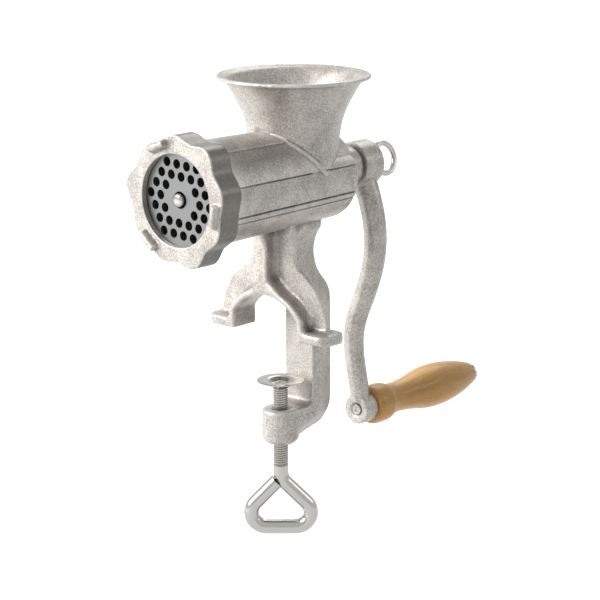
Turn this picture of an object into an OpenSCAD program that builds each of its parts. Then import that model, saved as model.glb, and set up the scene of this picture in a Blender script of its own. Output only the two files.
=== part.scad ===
// Hand-cranked meat grinder, size 8, with a table clamp
// Origin: where the table's edge meets the clamp, at the level of the two feet.
// -Y is the outlet, +Y the crank, +Z up. Millimetres.

/* [Layout] */
// Height of the auger's axis above the feet
axis_h = 98; // [94:0.5:106]
// Outlet's front face to the table stop
reach = 110; // [108:0.5:116]
// Table stop to the barrel's rear wall
rear_y = 25; // [24:0.5:30]
// Hopper's axis in front of the table stop
hopper_y = 4; // [0:0.5:8]
// Clamp screw's axis in front of the table stop
screw_y = 18; // [16:0.5:22]

/* [Barrel] */
// Barrel's outer radius behind the ring nut
barrel_front_r = 32.2; // [31.4:0.1:33.6]
// Barrel's outer radius at its rear wall
barrel_rear_r = 30; // [29.4:0.1:31.4]
// Barrel's wall
barrel_wall = 4.4; // [3.8:0.1:4.8]
// Rear wall
rear_wall = 7; // [5:0.5:9]
// Length of the bearing neck behind the rear wall
neck_len = 25; // [20:0.5:30]
// Bearing neck's radius
neck_r = 13; // [12:0.1:14]
// Outside radius of the mouth's thread
thread_r = 34.5; // [34:0.1:35]
// Height of the ridges along the barrel
ridge_h = 0.9; // [0.4:0.1:1.4]
// Width of the flat band along the barrel
band_w = 4.2; // [3:0.1:5]

/* [Hopper] */
// Hopper rim's outer radius
rim_r = 49; // [44:0.5:54]
// Height of the rim above the auger's axis
rim_h = 64.4; // [60:0.5:72]
// Hopper neck's outer radius
hopper_r = 28.3; // [27:0.1:29]
// Hopper's wall
hopper_wall = 3.2; // [2.6:0.1:3.6]
// Steepness of the flare
flare_power = 2.6; // [2:0.1:3.2]
// Radius of the rolled lip
lip_r = 1.6; // [1.2:0.1:2]

/* [Ring nut] */
// Depth of the ring nut
ring_depth = 17; // [15:0.5:20]
// Thickness of its front lip
ring_lip = 4.3; // [3.4:0.1:5]
// Radius of its opening
ring_open_r = 28.5; // [28:0.1:29.2]
// Mean radius of its lobed rim
ring_r = 38.6; // [38.2:0.1:40]
// Height of the shallow lobes
lobe_h = 1.2; // [0.6:0.1:1.6]
// Height of the three ears
ear_h = 3.8; // [2:0.1:5]
// Length of the raised bars on its face
bar_len = 14; // [10:0.5:16]
// Width of the bars
bar_w = 4.6; // [3:0.1:5]
// Height of the bars
bar_h = 2; // [1:0.1:2.6]

/* [Plate] */
// Radius of the perforated plate
plate_r = 31; // [30.6:0.1:31.2]
// Thickness of the plate
plate_t = 6; // [5:0.5:7]
// Spacing of the holes
hole_pitch = 8.25; // [7.9:0.05:8.4]
// Diameter of the holes
hole_d = 5.9; // [5:0.1:6.2]
// Radius of the key pin in the mouth
key_r = 1.5; // [1.2:0.1:1.8]

/* [Auger] */
// Radius of the rear shaft
shaft_r = 9; // [8:0.1:9.6]
// Radius of the auger's core at its front
core_r = 11; // [10:0.5:13]
// Distance between turns of the flight
flight_pitch = 34; // [28:1:38]
// Thickness of the flight
flight_t = 5; // [4:0.5:7]
// Across the flats of the square that drives the crank
tang_w = 12.4; // [11:0.1:12.6]
// Radius of the knife stud's nose
stud_r = 4.7; // [4.2:0.1:5]
// Across the flats of the stud's square
stud_w = 9.6; // [8.6:0.1:10]
// Thickness of the knife
knife_t = 8; // [6:0.5:9]
// Width of a knife blade
blade_w = 10; // [8:0.5:12]
// Thickness of the bearing washer
washer_t = 1.6; // [1:0.1:2.4]

/* [Crank] */
// Shaft axis to handle axis
crank_len = 167; // [150:1:185]
// Radius of the hub on the shaft
hub_r = 15; // [14:0.1:17]
// Length of the hub on the shaft
hub_len = 17.4; // [16:0.1:20]
// Radius of the hub at the handle
pin_hub_r = 10; // [9:0.1:12]
// Length of the hub at the handle
pin_hub_len = 12; // [10:0.5:14]
// How far the handle's hub stands behind the front of the shaft's hub
pin_hub_back = 6.3; // [5:0.1:8]
// Sideways bulge of the arm's upper bend
arm_bulge = 13.8; // [6:0.2:16]
// Share of the arm's length that the upper bend takes
arm_cross = 0.585; // [0.5:0.005:0.65]
// Arm's radius at the shaft
arm_top_r = 8.1; // [7:0.1:8.6]
// Arm's radius at the handle
arm_low_r = 6.4; // [5.4:0.1:7]

/* [Handle] */
// Length of the grip
grip_len = 110; // [100:1:120]
// Radius of the grip's widest part
grip_r = 14.7; // [13:0.1:16]
// Radius of the rivet
rivet_r = 3.5; // [3:0.1:4]
// Radius of the rivet's domed head
rivet_head_r = 6; // [5.4:0.1:6.6]

/* [Eye screw] */
// Radius of the screw's stem
eye_stem_r = 4; // [3.6:0.1:4.4]
// Radius of the ring at the middle of its wire
eye_r = 10.1; // [9:0.1:12]
// Radius of the wire
eye_wire_r = 1.9; // [1.6:0.1:2.3]
// How far the ring is turned about the shaft's axis
eye_turn = -15; // [-40:1:40]

/* [Fork] */
// Half the gap between the feet
foot_gap = 27.3; // [25:0.1:29]
// Height of the arch's crown above the feet
crown_h = 25.7; // [24:0.1:27]
// Radius of the arch
arch_r = 33.5; // [31:0.1:36]
// Thickness of the arch strip
strip_t = 4.4; // [3.4:0.1:5]
// Front edge of the strip in front of the table stop
strip_y = 33; // [32:0.5:36]
// Depth of the strip
strip_d = 22; // [18:0.5:23]
// How far the web plate lies behind the strip's front edge
web_back = 9; // [7:0.5:10]
// Thickness of the web plate
web_t = 3; // [2.4:0.1:4]
// Outer half width of the web at the feet
web_half = 45.5; // [44:0.5:47]
// Half width of the web where it meets the barrel
web_neck = 18.2; // [17:0.1:20]
// Thickness of the centre rib
rib_t = 3.6; // [2.6:0.1:4.4]
// Half the width over the feet's lugs
lug_half = 52; // [50:0.5:56]
// Thickness of the lugs
lug_t = 6.6; // [4:0.1:7.4]

/* [Clamp] */
// Half the width of the spine's front face
spine_half = 12; // [11:0.1:13]
// Half the width of the spine's rear face
spine_back_half = 6; // [5:0.1:8]
// Depth of the spine
spine_d = 24.5; // [23:0.1:26]
// Depth of the spine's straight sides
spine_side = 8.1; // [7:0.1:10]
// Feet to the jaw's top face
jaw_drop = 51; // [48:0.5:60]
// Height of the threaded boss
boss_h = 23; // [20:0.5:26]
// Radius of the threaded boss
boss_r = 12; // [11.4:0.1:13]

/* [Clamp screw] */
// Radius over the screw's thread
screw_r = 4.9; // [4.5:0.05:5.2]
// Pitch of the screw's thread
screw_pitch = 1.5; // [1.25:0.25:2]
// Feet to the pad's rim, as photographed
pad_drop = 32.2; // [24:0.2:36]
// Radius of the pad
pad_r = 15.2; // [13:0.1:17]
// Threaded length below the pad
thread_len = 54; // [50:0.5:60]
// Half the width of the loop at the middle of the rod
loop_half = 19.3; // [17:0.1:22]
// Height of the loop at the middle of the rod
loop_h = 39.3; // [36:0.1:44]
// Direction of the loop about the screw
loop_turn = 42; // [0:1:90]

/* [Hidden] */
$fn = 64;

// Clearances
thread_gap = 0.08;
run_gap = 0.06;
square_gap = 0.1;
plate_gap = 0.15;
flight_gap = 0.5;
end_gap = 0.3;
over = 1;

// Stations along the barrel's axis
front_y = -reach;
plate_y = front_y + ring_lip;
mouth_y = plate_y + 0.5;
knife_y = plate_y + plate_t;
auger_y = knife_y + knife_t + 0.5;
collar_end_y = front_y + ring_depth - 0.5;
wall_y = rear_y - rear_wall;
neck_end_y = rear_y + neck_len;
hub_y = neck_end_y + end_gap;
hub_end_y = hub_y + hub_len;
pin_hub_y = hub_y + pin_hub_back;
pin_hub_end_y = pin_hub_y + pin_hub_len;
grip_y = pin_hub_end_y + end_gap;
grip_end_y = grip_y + grip_len;
pin_z = axis_h - crank_len;

// Radii that follow from the barrel
mouth_bore_r = plate_r + plate_gap;
bore_front_r = barrel_front_r - barrel_wall;
bore_rear_r = barrel_rear_r - barrel_wall;
barrel_taper = atan((barrel_front_r - barrel_rear_r) / (rear_y - collar_end_y));

// Depth of the stud's root in the auger
stud_root = 14;
// Stud's nose in front of the plate
stud_proud = 1.1;
// Collar at the auger's rear end
collar_t = 3;
// Length of the crank's square and of the hole for the eye screw
tang_len = hub_len - 1.5;
eye_hole_depth = 20;
// How far the arm stays inside the lower hub's rear face
arm_inset = 0.8;
// Eye screw's stem inside the hub, and its collar
eye_stem_len = 18;
eye_collar_t = 2.6;
eye_collar_r = eye_stem_r + 2.6;
eye_taper = 4.5;
// Rivet's countersunk front end and its domed cap
rivet_sink = 2;
dome_h = 3;
dome_r = 7.5;

// Casting details
ridge_angle = 15.5;
shoulder_angle = 59;
band_angle = -23;
ridge_w = 1.6;
shoulder_w = 5;
edge_r = 3;
// Width of the arch's peak, half its base, and its height over the crown
peak_half = 2;
peak_base = 16;
peak_h = 10.5;
// Bend where the centre rib flares forward under the barrel
rib_flare_r = 12;
rib_straight = 30;
rib_top = 43;
// Rounding of the jaw's outer corner, seen from the side
jaw_corner_r = 18.5;

// Clamp details
jaw_z = -jaw_drop;
boss_z = jaw_z - boss_h;
rod_r = screw_r;
pad_z = -pad_drop;
dish_r = 0.56 * pad_r;
dish_d = 4.2;
pad_t = 1.8;
tip_r = 3;
tip_head_r = 4.4;
tip_head_h = 1.3;
thread_top_z = pad_z - dish_d - pad_t - 0.15;
thread_end_z = thread_top_z - thread_len;

// A point on a circle
function polar(r, a) = [r * cos(a), r * sin(a)];

// A point part of the way from a to b
function mix(a, b, t) = a + (b - a) * t;

// Points along an arc from angle a0 to a1, in n steps
function arc(c, r, a0, a1, n) = [for (i = [0:n]) c + polar(r, mix(a0, a1, i / n))];

// A smooth curve through a list of points
function smooth(p, n) = concat(
    [for (i = [0:len(p) - 2], k = [0:n - 1])
        let (t = k / n, a = p[max(i - 1, 0)], b = p[i], c = p[i + 1], d = p[min(i + 2, len(p) - 1)])
        0.5 * (2 * b + (c - a) * t + (2 * a - 5 * b + 4 * c - d) * t * t
               + (3 * b - a - 3 * c + d) * t * t * t)],
    [p[len(p) - 1]]);

// A solid through a list of rings that have the same number of points
module loft(rings) {
    n = len(rings[0]);
    m = len(rings);
    sides = [for (i = [0:m - 2], j = [0:n - 1])
        let (a = i * n + j, b = i * n + (j + 1) % n)
        each [[a, b, b + n], [a, b + n, a + n]]];
    ends = [[for (j = [n - 1:-1:0]) j], [for (j = [0:n - 1]) (m - 1) * n + j]];
    polyhedron([for (r = rings) each r], concat(sides, ends), convexity = 8);
}

// A round rod along a path that lies in the plane of X and Z
module rod(path, radii, sides) {
    last = len(path) - 1;
    loft([for (i = [0:last])
        let (d = path[min(i + 1, last)] - path[max(i - 1, 0)],
             u = d / norm(d),
             side = [-u[2], 0, u[0]])
        [for (k = [0:sides - 1])
            let (a = 360 * k / sides)
            path[i] + radii[i] * (side * cos(a) + [0, 1, 0] * sin(a))]]);
}

// Turns a child whose axis is Z so that the axis runs along Y from y
module along_y(y, x = 0, z = axis_h) {
    translate([x, y, z]) rotate([-90, 0, 0]) children();
}

// Extrudes a child drawn in X and Z along Y from y
module slab_y(y, depth) {
    translate([0, y + depth, 0]) rotate([90, 0, 0]) linear_extrude(depth) children();
}

// Extrudes a child drawn in Y and Z along X, centred
module slab_x(width) {
    rotate([90, 0, 90]) linear_extrude(width, center = true) children();
}

// Outer radius of the hopper at a height above the auger's axis
flare_from = 12;
function hopper_at(h) = hopper_r + (rim_r - lip_r - hopper_r)
    * pow(max(0, h - flare_from) / (rim_h - flare_from), flare_power);

module hopper_outside() {
    steps = 20;
    translate([0, -hopper_y, axis_h]) {
        rotate_extrude() polygon(concat(
            [[0, 0], [hopper_r, 0]],
            [for (i = [0:steps]) let (h = mix(flare_from, rim_h - lip_r, i / steps)) [hopper_at(h), h]],
            [[0, rim_h - lip_r]]));
        translate([0, 0, rim_h - lip_r]) rotate_extrude() translate([rim_r - lip_r, 0]) circle(lip_r);
    }
}

module hopper_inside() {
    steps = 20;
    inner_r = hopper_r - hopper_wall;
    translate([0, -hopper_y, axis_h]) rotate_extrude() polygon(concat(
        [[0, 0], [inner_r, 0]],
        [for (i = [0:steps]) let (h = mix(flare_from, rim_h, i / steps)) [hopper_at(h) - hopper_wall, h]],
        [[rim_r - hopper_wall, rim_h + over], [0, rim_h + over]]));
}

// A raised strip along the barrel's cone, centred on an angle from +X
module barrel_ridge(angle, width, height, y0, y1) {
    r0 = mix(barrel_front_r, barrel_rear_r, (y0 - collar_end_y) / (rear_y - collar_end_y));
    translate([0, 0, axis_h]) rotate([0, -angle, 0]) translate([r0, y0, 0])
        rotate([0, 0, barrel_taper])
            translate([-barrel_wall / 2, 0, -width / 2]) cube([barrel_wall / 2 + height, y1 - y0, width]);
}

module barrel_outside() {
    along_y(mouth_y) cylinder(r = thread_r, h = collar_end_y - mouth_y);
    along_y(collar_end_y)
        cylinder(r1 = barrel_front_r, r2 = barrel_rear_r, h = rear_y - collar_end_y - edge_r);
    along_y(rear_y - edge_r) cylinder(r1 = barrel_rear_r, r2 = barrel_rear_r - edge_r, h = edge_r);
    along_y(rear_y - over) cylinder(r1 = neck_r + 4, r2 = neck_r, h = over + 5);
    along_y(rear_y) cylinder(r = neck_r, h = neck_len);
    for (side = [0, 1]) mirror([side, 0, 0]) {
        barrel_ridge(band_angle, band_w, ridge_h, collar_end_y, rear_y - edge_r);
        barrel_ridge(ridge_angle, ridge_w, ridge_h, collar_end_y, rear_y - edge_r);
        barrel_ridge(shoulder_angle, shoulder_w, ridge_h, collar_end_y, -hopper_y);
    }
}

module barrel_inside() {
    along_y(front_y) cylinder(r = mouth_bore_r, h = auger_y - front_y);
    along_y(auger_y - 0.01)
        cylinder(r1 = bore_front_r, r2 = bore_rear_r, h = wall_y - auger_y + 0.01);
    along_y(wall_y - over) cylinder(r = shaft_r + run_gap, h = neck_end_y - wall_y + 2 * over);
}

// The bell-shaped plate between the barrel and the feet, right half, from the centre line
web_r = 42;
function web_edge() = concat(
    arc([web_half - web_r, 6], web_r, 0, 63, 14),
    [[web_neck + 1.4, crown_h + 21], [web_neck, crown_h + 25], [web_neck, axis_h - barrel_rear_r + 3]]);

module web_shape() {
    half = web_edge();
    polygon(concat([[0, 0], [web_half, 0]], half, [[0, axis_h - barrel_rear_r + 3]]));
    mirror([1, 0]) polygon(concat([[0, 0], [web_half, 0]], half, [[0, axis_h - barrel_rear_r + 3]]));
}

// The arch's open area, and the same area grown by the strip's thickness
arch_z = crown_h - arch_r;
module arch_shape(grow) {
    intersection() {
        translate([0, arch_z]) circle(arch_r + grow, $fn = 96);
        translate([-foot_gap - grow, -over]) square([2 * (foot_gap + grow), crown_h + grow + 2 * over]);
    }
}

module strip_shape() {
    difference() {
        union() {
            intersection() {
                arch_shape(strip_t);
                translate([-web_half, 0]) square([2 * web_half, crown_h + strip_t + over]);
            }
            polygon([[-peak_base, crown_h], [-peak_half, crown_h + peak_h],
                     [peak_half, crown_h + peak_h], [peak_base, crown_h]]);
        }
        arch_shape(0);
    }
}

// A foot's lug seen from above, on the +X side
lug_corner = 9;
module lug_shape() {
    y0 = -strip_y;
    y1 = -strip_y + strip_d;
    polygon(concat(
        [[foot_gap, y0]],
        arc([lug_half - lug_corner, y0 + lug_corner], lug_corner, -90, 0, 8),
        arc([lug_half - lug_corner, y1 - lug_corner], lug_corner, 0, 90, 8),
        [[foot_gap, y1]]));
}

module fork() {
    web_y = -strip_y + web_back;
    slab_y(-strip_y, strip_d) strip_shape();
    slab_y(web_y, web_t) difference() {
        web_shape();
        arch_shape(0);
    }
    for (side = [0, 1]) mirror([side, 0, 0]) linear_extrude(lug_t) lug_shape();
    slab_x(rib_t) polygon(concat(
        [[web_y + over, crown_h + 2], [-strip_y, crown_h + 2], [-strip_y, crown_h + rib_straight]],
        arc([-strip_y - rib_flare_r, crown_h + rib_straight], rib_flare_r, 0, 78, 8),
        [[web_y + over, crown_h + rib_top]]));
    translate([-spine_half, web_y, crown_h])
        cube([2 * spine_half, link_sink - spine_bend - web_y, neck_z + link_top - crown_h]);
}

// The spine's rear outline bends forward under the barrel, then back out to meet it
spine_bend = 16;
low_r = 22;
low_z = 14;
mid_r = 26.5;
neck_z = 50;
top_r = 17;
// The block that links the web to the spine: its top over the bend, and how far it sinks in
link_top = 12;
link_sink = 5;
function bend_outline(back) = concat(
    arc([back - low_r, low_z], low_r, 0, 47, 6),
    arc([back - spine_bend + mid_r, neck_z], mid_r, 222, 186, 6),
    arc([back - spine_bend + top_r, neck_z], top_r, 180, 110, 7),
    [[back - 2, axis_h - barrel_rear_r + 2]]);

// Rings of the spine, from the jaw's tip round the corner and up to the barrel
module spine() {
    steps = 7;
    turn = [for (i = [0:steps]) mix(-90, 0, i / steps)];
    jaw_front = [for (a = turn) [-4, jaw_z + 4] + polar(4, a)];
    jaw_side = [for (a = turn) [-2, jaw_z + 1] + polar(spine_side + 2, a)];
    jaw_rear = [for (a = turn) [spine_d - jaw_corner_r, jaw_z + 2] + polar(jaw_corner_r, a)];
    front = concat([[-screw_y, jaw_z]], jaw_front, bend_outline(0));
    side = concat([[-screw_y, jaw_z - spine_side]], jaw_side, bend_outline(spine_side));
    rear = concat([[-screw_y, boss_z]], jaw_rear, bend_outline(spine_d));
    loft([for (i = [0:len(front) - 1]) [
        [-spine_half, side[i][0], side[i][1]],
        [-spine_back_half, rear[i][0], rear[i][1]],
        [spine_back_half, rear[i][0], rear[i][1]],
        [spine_half, side[i][0], side[i][1]],
        [spine_half, front[i][0], front[i][1]],
        [-spine_half, front[i][0], front[i][1]]]]);
}

module body_casting() {
    color("silver") difference() {
        union() {
            hopper_outside();
            barrel_outside();
            fork();
            spine();
            translate([0, -screw_y, boss_z]) {
                cylinder(r1 = boss_r - edge_r, r2 = boss_r, h = edge_r);
                translate([0, 0, edge_r]) cylinder(r = boss_r, h = boss_h - edge_r);
            }
        }
        hopper_inside();
        barrel_inside();
        translate([0, -screw_y, boss_z - over])
            cylinder(r = screw_r + thread_gap, h = boss_h + 2 * over);
        along_y(mouth_y - over, 0, axis_h - mouth_bore_r) cylinder(r = key_r, h = plate_t);
    }
}

module plate_key() {
    color("dimgray") along_y(mouth_y, 0, axis_h - mouth_bore_r) cylinder(r = key_r, h = plate_t - over);
}

module perforated_plate() {
    lattice_turn = -4.7;
    color("lightsteelblue") difference() {
        along_y(plate_y) cylinder(r = plate_r, h = plate_t);
        along_y(plate_y - over) cylinder(r = stud_r + 0.6, h = plate_t + 2 * over);
        along_y(plate_y - over, 0, axis_h - mouth_bore_r)
            cylinder(r = key_r + plate_gap, h = plate_t + 2 * over);
        for (a = [-3:3], b = [-3:3]) {
            ring = max(abs(a), abs(b), abs(a + b));
            p = hole_pitch * [a + b / 2, b * sqrt(3) / 2];
            if (ring == 2 || ring == 3)
                translate([0, plate_y - over, axis_h]) rotate([0, -lattice_turn, 0])
                    translate([p[0], 0, p[1]]) rotate([-90, 0, 0])
                        cylinder(d = hole_d, h = plate_t + 2 * over);
        }
    }
}

// Outline of the ring nut: nine shallow lobes, three of them raised to ears
ear_turn = 51;
function ear_rise(a) = let (d = abs((a - ear_turn + 60 + 360) % 120 - 60))
    d < 20 ? pow(cos(4.5 * d), 1.5) : 0;
function ring_edge(a) = ring_r + lobe_h * cos(9 * (a - ear_turn)) + (ear_h - lobe_h) * ear_rise(a);

module ring_nut() {
    points = 120;
    bar_mid_r = (ring_open_r + ring_r) / 2 + 0.6;
    color("silver") {
        difference() {
            slab_y(front_y, ring_depth) translate([0, axis_h])
                polygon([for (i = [0:points - 1]) let (a = 360 * i / points) polar(ring_edge(a), a)]);
            along_y(front_y - over) cylinder(r = ring_open_r, h = ring_depth);
            along_y(front_y + ring_lip) cylinder(r = thread_r + thread_gap, h = ring_depth);
        }
        for (k = [0:2]) {
            translate([0, front_y, axis_h]) rotate([0, 60 - ear_turn - 120 * k, 0])
                translate([bar_mid_r - bar_w / 2, -bar_h, -bar_len / 2])
                    cube([bar_w, bar_h + over, bar_len]);
        }
    }
}

// The auger: a tapering core, one long flight, a shoulder, the rear shaft and the crank's square
function auger_reach(y) = mix(bore_front_r, bore_rear_r, (y - auger_y) / (wall_y - auger_y)) - flight_gap;

module flight() {
    y0 = auger_y + flight_t / 2 + 0.5;
    y1 = wall_y - washer_t - collar_t - flight_t;
    turns = (y1 - y0) / flight_pitch;
    steps = ceil(turns * 24);
    loft([for (i = [0:steps])
        let (y = mix(y0, y1, i / steps),
             a = -360 * turns * i / steps,
             r1 = auger_reach(y1),
             r0 = core_r - 3,
             c = cos(a),
             s = sin(a))
        [[r0 * c, y - flight_t / 2, axis_h + r0 * s],
         [r1 * c, y - flight_t / 4, axis_h + r1 * s],
         [r1 * c, y + flight_t / 4, axis_h + r1 * s],
         [r0 * c, y + flight_t / 2, axis_h + r0 * s]]]);
}

module auger() {
    shoulder_y = wall_y - washer_t - 2 * run_gap;
    color("gainsboro") difference() {
        union() {
            flight();
            along_y(auger_y) cylinder(r1 = core_r, r2 = core_r + 3, h = shoulder_y - auger_y - collar_t);
            along_y(shoulder_y - collar_t - 0.01)
                cylinder(r = bore_rear_r - flight_gap, h = collar_t + 0.01);
            along_y(shoulder_y - 0.01) cylinder(r = shaft_r, h = hub_y - shoulder_y + 0.01);
            translate([-tang_w / 2, hub_y - 0.01, axis_h - tang_w / 2])
                cube([tang_w, tang_len, tang_w]);
        }
        along_y(auger_y - over) cylinder(r = stud_r, h = stud_root + over);
        along_y(hub_end_y - eye_hole_depth) cylinder(r = eye_stem_r + run_gap, h = eye_hole_depth + over);
    }
}

module knife_stud() {
    nose_y = plate_y - stud_proud;
    color("lightgray") {
        along_y(knife_y) cylinder(r = stud_r - 0.02, h = auger_y - knife_y + stud_root - end_gap);
        translate([-stud_w / 2, knife_y + 0.4, axis_h - stud_w / 2]) cube([stud_w, knife_t, stud_w]);
        along_y(nose_y + over) cylinder(r = stud_r - 0.02, h = knife_y - nose_y);
        along_y(nose_y) cylinder(r1 = stud_r - 0.8, r2 = stud_r - 0.02, h = over + 0.01);
    }
}

module knife() {
    knife_hub_r = stud_w * 0.95;
    blade_reach = mouth_bore_r - 2;
    y0 = knife_y + 0.05;
    color("darkgray") difference() {
        union() {
            along_y(y0) cylinder(r = knife_hub_r, h = knife_t);
            for (k = [0:3]) translate([0, y0, axis_h]) rotate([0, 90 * k + 20, 0])
                translate([0, 0, -blade_w / 3]) cube([blade_reach, knife_t * 0.6, blade_w * 0.6]);
        }
        translate([-stud_w / 2 - square_gap, y0 - over, axis_h - stud_w / 2 - square_gap])
            cube([stud_w + 2 * square_gap, knife_t + 2 * over, stud_w + 2 * square_gap]);
    }
}

module bearing_washer() {
    color("ivory") difference() {
        along_y(wall_y - washer_t - run_gap) cylinder(r = shaft_r + 7, h = washer_t);
        along_y(wall_y - washer_t - over) cylinder(r = shaft_r + run_gap, h = washer_t + 2 * over);
    }
}

// The arm's centre line swings to +X, crosses over, and comes back to the handle's hub
low_bulge = arm_bulge * (1 - arm_cross) / arm_cross;
function arm_x(t) = t < arm_cross
    ? arm_bulge * sin(180 * t / arm_cross)
    : let (u = (t - arm_cross) / (1 - arm_cross)) -low_bulge * sin(180 * u) * (1 - u);

module crank_arm() {
    steps = 28;
    top_y = hub_y + hub_len / 2;
    low_y = pin_hub_end_y - arm_low_r - arm_inset;
    ts = [for (i = [0:steps]) mix(0.03, 0.97, i / steps)];
    color("silver") difference() {
        union() {
            rod([for (t = ts) [arm_x(t), mix(top_y, low_y, t), axis_h - crank_len * t]],
                [for (t = ts) mix(arm_top_r, arm_low_r, t)], 20);
            along_y(hub_y) cylinder(r = hub_r, h = hub_len);
            along_y(pin_hub_y, 0, pin_z) cylinder(r = pin_hub_r, h = pin_hub_len);
        }
        translate([-tang_w / 2 - square_gap, hub_y - over, axis_h - tang_w / 2 - square_gap])
            cube([tang_w + 2 * square_gap, tang_len + over + end_gap, tang_w + 2 * square_gap]);
        along_y(hub_y) cylinder(r = eye_stem_r + 0.4, h = hub_len + over);
        along_y(pin_hub_y - over, 0, pin_z) cylinder(r = rivet_r, h = pin_hub_len + 2 * over);
        along_y(pin_hub_y - over, 0, pin_z)
            cylinder(r1 = rivet_r + rivet_sink + over, r2 = rivet_r, h = rivet_sink + over);
    }
}

module crank_eye_screw() {
    ring_y = hub_end_y + eye_collar_t + 4 + eye_r;
    color("whitesmoke") {
        along_y(hub_end_y - eye_stem_len) cylinder(r = eye_stem_r, h = eye_stem_len + eye_collar_t);
        along_y(hub_end_y + 0.02) cylinder(r = eye_collar_r, h = eye_collar_t);
        along_y(hub_end_y + eye_collar_t) cylinder(r1 = eye_stem_r, r2 = eye_wire_r + 0.6, h = eye_taper);
        translate([0, ring_y, axis_h]) rotate([0, eye_turn + 90, 0])
            rotate_extrude() translate([eye_r, 0]) circle(eye_wire_r);
    }
}

// The grip's outline, as pairs of a distance from its front end and a radius
grip_profile = smooth([
    [0, 0.83 * grip_r],
    [0.055 * grip_len, 0.9 * grip_r],
    [0.13 * grip_len, 0.87 * grip_r],
    [0.26 * grip_len, 0.7 * grip_r],
    [0.38 * grip_len, 0.78 * grip_r],
    [0.53 * grip_len, 0.97 * grip_r],
    [0.68 * grip_len, 0.99 * grip_r],
    [0.83 * grip_len, 0.84 * grip_r],
    [0.94 * grip_len, 0.62 * grip_r],
    [grip_len, 0.44 * grip_r]], 4);

module handle_grip() {
    color("burlywood") difference() {
        along_y(grip_y, 0, pin_z) rotate_extrude() polygon(concat([[0, 0]],
            [for (p = grip_profile) [p[1], p[0]]], [[0, grip_len]]));
        along_y(grip_y - over, 0, pin_z) cylinder(r = rivet_r + run_gap, h = grip_len + 2 * over);
    }
}

module handle_rivet() {
    color("lightgray") {
        along_y(pin_hub_y - 0.4, 0, pin_z) cylinder(r = rivet_r, h = grip_end_y - pin_hub_y + 1);
        along_y(pin_hub_y - 0.4, 0, pin_z) cylinder(r1 = rivet_r + 1.6, r2 = rivet_r, h = 2.4);
        along_y(grip_end_y + 0.1, 0, pin_z) cylinder(r = rivet_head_r, h = 0.8);
        along_y(grip_end_y + 0.89, 0, pin_z)
            rotate_extrude() intersection() {
                translate([0, dome_h - dome_r]) circle(dome_r);
                square([rivet_head_r, dome_h]);
            }
    }
}

// The clamp screw: peened tip, threaded rod and a three-cornered loop
module clamp_screw() {
    root_r = screw_r - 0.55 * screw_pitch;
    turns = floor(thread_len / screw_pitch);
    // Bend below the thread, bend at the corners, and slope of the two upper limbs
    bend_r = 13;
    corner_r = 9.8;
    lean = 46;
    corner = arc([loop_half - corner_r, corner_r - loop_h], corner_r, 90 - lean, -90, 12);
    bend = arc([bend_r, -1], bend_r, 180, 180 + 90 - lean, 6);
    // Where the rod's cut end meets the other limb
    end_s = -2.6;
    end_z = corner[0][1] + (corner[0][0] + end_s) * tan(lean);
    path = concat([[0, 3]], bend, corner, [for (i = [len(corner) - 1:-1:0]) [-corner[i][0], corner[i][1]]],
        [[end_s, end_z]]);
    color("gainsboro") translate([0, -screw_y, 0]) {
        rotate_extrude() polygon(concat(
            [[0, thread_end_z - 0.5], [screw_r, thread_end_z - 0.5]],
            [for (i = [0:turns - 1]) let (z = thread_end_z + screw_pitch * i)
                each [[screw_r, z], [root_r, z + screw_pitch / 2]]],
            [[screw_r - 0.4, thread_top_z], [0, thread_top_z]]));
        translate([0, 0, thread_top_z - over])
            cylinder(r = tip_r, h = pad_t + 0.3 + over);
        translate([0, 0, thread_top_z + pad_t + 0.3])
            cylinder(r1 = tip_head_r, r2 = tip_head_r - 1, h = tip_head_h);
        rotate([0, 0, loop_turn]) translate([0, 0, thread_end_z])
            rod([for (p = path) [p[0], 0, p[1]]], [for (p = path) rod_r], 16);
    }
}

module clamp_pad() {
    z0 = thread_top_z + 0.15;
    color("gainsboro") translate([0, -screw_y, 0]) difference() {
        rotate_extrude() polygon([
            [0, z0], [dish_r - 2, z0], [dish_r + 0.6, z0 + dish_d - 1.4], [pad_r, z0 + dish_d],
            [pad_r, pad_z], [dish_r, pad_z], [dish_r - 2.6, z0 + pad_t], [0, z0 + pad_t]]);
        translate([0, 0, z0 - over]) cylinder(r = tip_r + run_gap, h = pad_t + 2 * over);
    }
}

body_casting();
plate_key();
perforated_plate();
ring_nut();
auger();
knife_stud();
knife();
bearing_washer();
crank_arm();
crank_eye_screw();
handle_grip();
handle_rivet();
clamp_screw();
clamp_pad();
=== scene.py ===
"""The looks of a hand-cranked meat grinder: tinned castings, bright screws and a beech grip.

The frame holds every piece at its real size. Each operator below finishes one piece or one
group of like pieces, the panel lists them, and main runs them in order.
"""
import math

import bpy
from bpy.props import FloatProperty, FloatVectorProperty, IntProperty, PointerProperty
from mathutils import Matrix, Vector


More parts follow.
